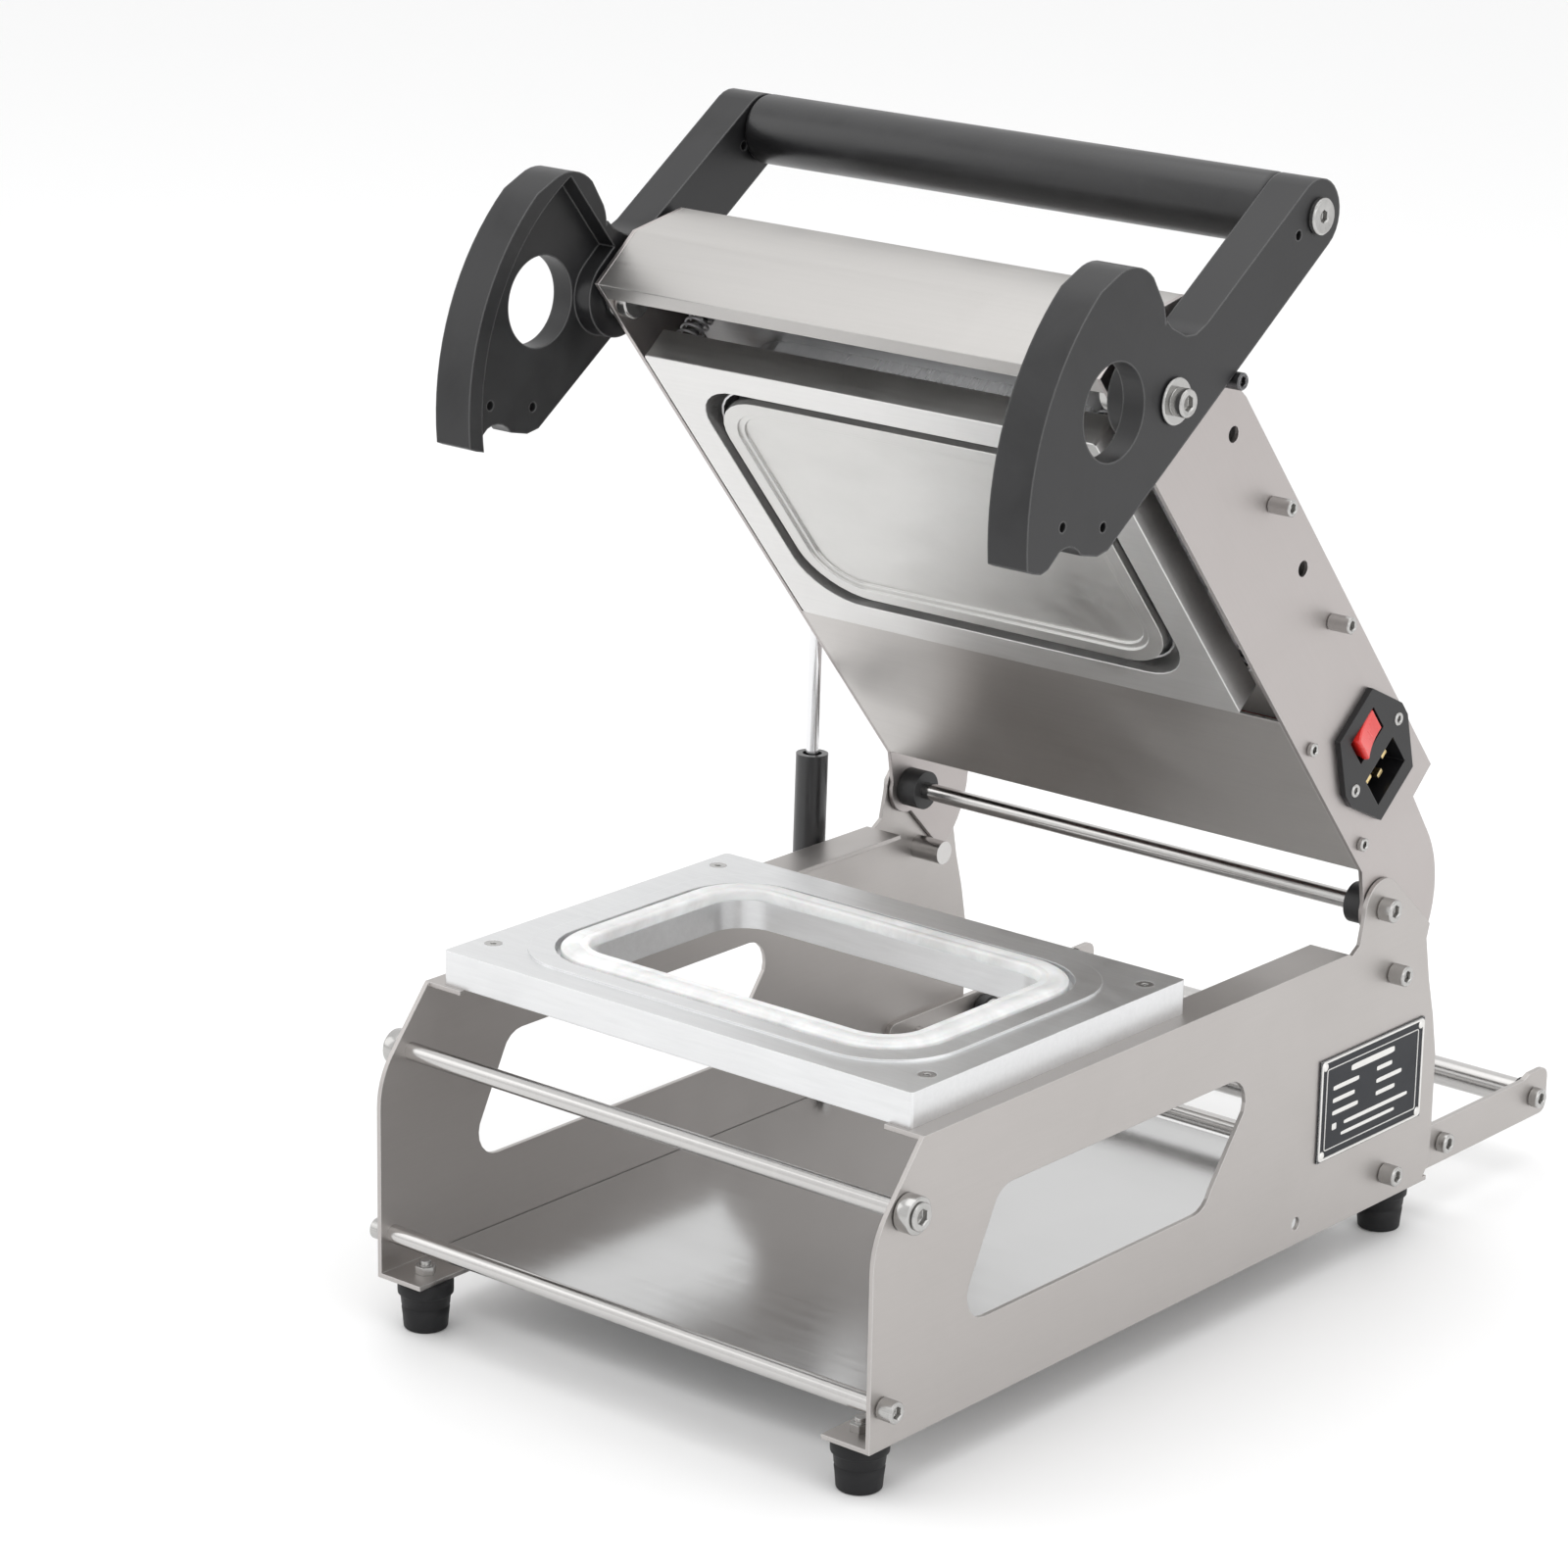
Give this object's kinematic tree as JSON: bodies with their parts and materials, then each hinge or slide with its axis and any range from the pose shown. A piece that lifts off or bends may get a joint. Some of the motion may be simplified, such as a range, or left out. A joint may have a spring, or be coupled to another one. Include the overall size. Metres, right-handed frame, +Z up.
{
  "type": "manual tray sealing machine",
  "caption": "Hand-operated tray sealer: open steel base with lower mould and film cradle, hinged lid with heated upper mould, cam-locking pull-down handle and gas strut.",
  "frame": {"origin": "middle of the bounding box on the floor, under the machine", "axes": "+Z up, -Y towards the user at the front, +Y towards the film cradle at the rear, +X to the user's right"},
  "size_m": [0.322, 0.501, 0.4981],
  "materials": {
    "brushed_steel_sheet": "brushed",
    "polished_sheet": "polished",
    "pale_sheet": "fine brushed",
    "ground_rod": "ground",
    "screw_steel": "bright",
    "dark_screw_steel": "blackened",
    "roller_steel": "hard bright",
    "black_rubber": "matt",
    "mould_aluminium": "fine milled",
    "heater_aluminium": "bead blasted",
    "white_silicone": "satin",
    "nameplate_black": "black anodised",
    "blade_steel": "ground",
    "spring_steel": "bright",
    "brown_plastic": "glossy",
    "red_insulation": "satin",
    "black_plastic": "satin",
    "black_moulding": "semi gloss",
    "pin_brass": "bright",
    "red_rocker": "glossy",
    "element_mica": "matt",
    "element_ceramic": "matt",
    "black_anodised": "satin anodised",
    "black_grip": "satin",
    "strut_black": "satin",
    "strut_chrome": "polished"
  },
  "bodies": {
    "base": {"side_plate_left": "brushed_steel_sheet", "side_plate_right": "brushed_steel_sheet", "bottom_tray": "polished_sheet", "front_lower_rod": "ground_rod", "front_upper_rod": "ground_rod", "rear_posts": "ground_rod", "rear_lower_rod": "ground_rod", "hinge_rod": "ground_rod", "hinge_bushes": "black_plastic", "frame_screws": "screw_steel", "feet": "black_rubber", "foot_studs": "screw_steel", "lock_roller_screws": "screw_steel", "lower_mould": "mould_aluminium", "tray_seal": "white_silicone", "mould_screws": "screw_steel", "nameplate": "nameplate_black", "nameplate_rivets": "screw_steel", "cradle_arms": "brushed_steel_sheet", "cradle_screws": "screw_steel", "strut_stud_low": "screw_steel"},
    "lid": {"lid_plate_left": "brushed_steel_sheet", "lid_plate_right": "brushed_steel_sheet", "front_hood": "pale_sheet", "top_cover": "pale_sheet", "rear_sheet": "brushed_steel_sheet", "panel_screws": "screw_steel", "cross_bars": "ground_rod", "cross_bar_screws": "screw_steel", "stop_screws": "dark_screw_steel", "backing_plate": "mould_aluminium", "spacer_posts": "ground_rod", "cutter_knife": "blade_steel", "mould_springs": "spring_steel", "terminal_block": "brown_plastic", "lid_wiring": "red_insulation", "inlet_housing": "black_moulding", "inlet_pins": "pin_brass", "pivot_screws": "screw_steel", "strut_stud_high": "screw_steel"},
    "clamp_frame": {"clamp_frame": "mould_aluminium", "frame_bolts": "screw_steel"},
    "heater": {"heater_plate": "heater_aluminium", "heater_element": "element_mica", "thermostat": "element_ceramic", "heater_bolts": "screw_steel"},
    "handle": {"handle_arm_left": "black_anodised", "handle_arm_right": "black_anodised", "grip_sleeve": "black_grip", "grip_rod": "ground_rod", "grip_screws": "screw_steel"},
    "rocker": {"rocker_switch": "red_rocker"},
    "strut_cylinder": {"strut_cylinder": "strut_black"},
    "strut_rod": {"strut_rod": "strut_chrome"},
    "middle_roller": {"film_roller_middle": "ground_rod", "middle_roller_bushes": "black_plastic"},
    "rear_roller": {"film_roller_rear": "ground_rod", "rear_roller_bushes": "black_plastic"},
    "lock_roller_left": {"lock_roller_left": "roller_steel"},
    "lock_roller_right": {"lock_roller_right": "roller_steel"}
  },
  "joints": [
    {"name": "lid_hinge", "type": "hinge", "parent": "base", "child": "lid", "pos_m": [0, 0.0987, 0.1624], "axis": [1, 0, 0], "range_deg": [0, 50.6], "stiffness_Nm_per_rad": 5, "springref_deg": -120.32},
    {"name": "handle_pivot", "type": "hinge", "parent": "lid", "child": "handle", "pos_m": [0, -0.10182, 0.42306], "axis": [1, 0, 0], "range_deg": [0, 78]},
    {"name": "frame_slide", "type": "slide", "parent": "lid", "child": "clamp_frame", "axis": [0, 0.7727, 0.6347], "range_m": [0, 0.00711]},
    {"name": "heater_slide", "type": "slide", "parent": "lid", "child": "heater", "axis": [0, 0.7727, 0.6347], "range_m": [0, 0.00841]},
    {"name": "power_rocker", "type": "hinge", "parent": "lid", "child": "rocker", "pos_m": [0.1305, 0.07798, 0.24529], "axis": [0, 0.6347, -0.7727], "range_deg": [0, 20]},
    {"name": "strut_swing", "type": "hinge", "parent": "base", "child": "strut_cylinder", "pos_m": [-0.145, 0.0425, 0.032], "axis": [1, 0, 0], "range_deg": [0, 22.1]},
    {"name": "strut_stroke", "type": "slide", "parent": "strut_cylinder", "child": "strut_rod", "axis": [0, 0.0222, 0.9998], "range_m": [-0.0649, 0]},
    {"name": "middle_roller_spin", "type": "hinge", "parent": "base", "child": "middle_roller", "pos_m": [0, 0.1605, 0.036], "axis": [1, 0, 0], "continuous": true},
    {"name": "rear_roller_spin", "type": "hinge", "parent": "base", "child": "rear_roller", "pos_m": [0, 0.2385, 0.036], "axis": [1, 0, 0], "continuous": true},
    {"name": "lock_roller_left_spin", "type": "hinge", "parent": "base", "child": "lock_roller_left", "pos_m": [-0.138, -0.2319, 0.1195], "axis": [1, 0, 0], "continuous": true},
    {"name": "lock_roller_right_spin", "type": "hinge", "parent": "base", "child": "lock_roller_right", "pos_m": [0.138, -0.2319, 0.1195], "axis": [1, 0, 0], "continuous": true}
  ],
  "couplings": [
    {"joint": "frame_slide", "follows": "lid_hinge", "m_per_rad": 0.00804},
    {"joint": "heater_slide", "follows": "lid_hinge", "m_per_rad": 0.009512},
    {"joint": "strut_swing", "follows": "lid_hinge", "ratio": 0.43518},
    {"joint": "strut_stroke", "follows": "lid_hinge", "m_per_rad": -0.073262}
  ]
}
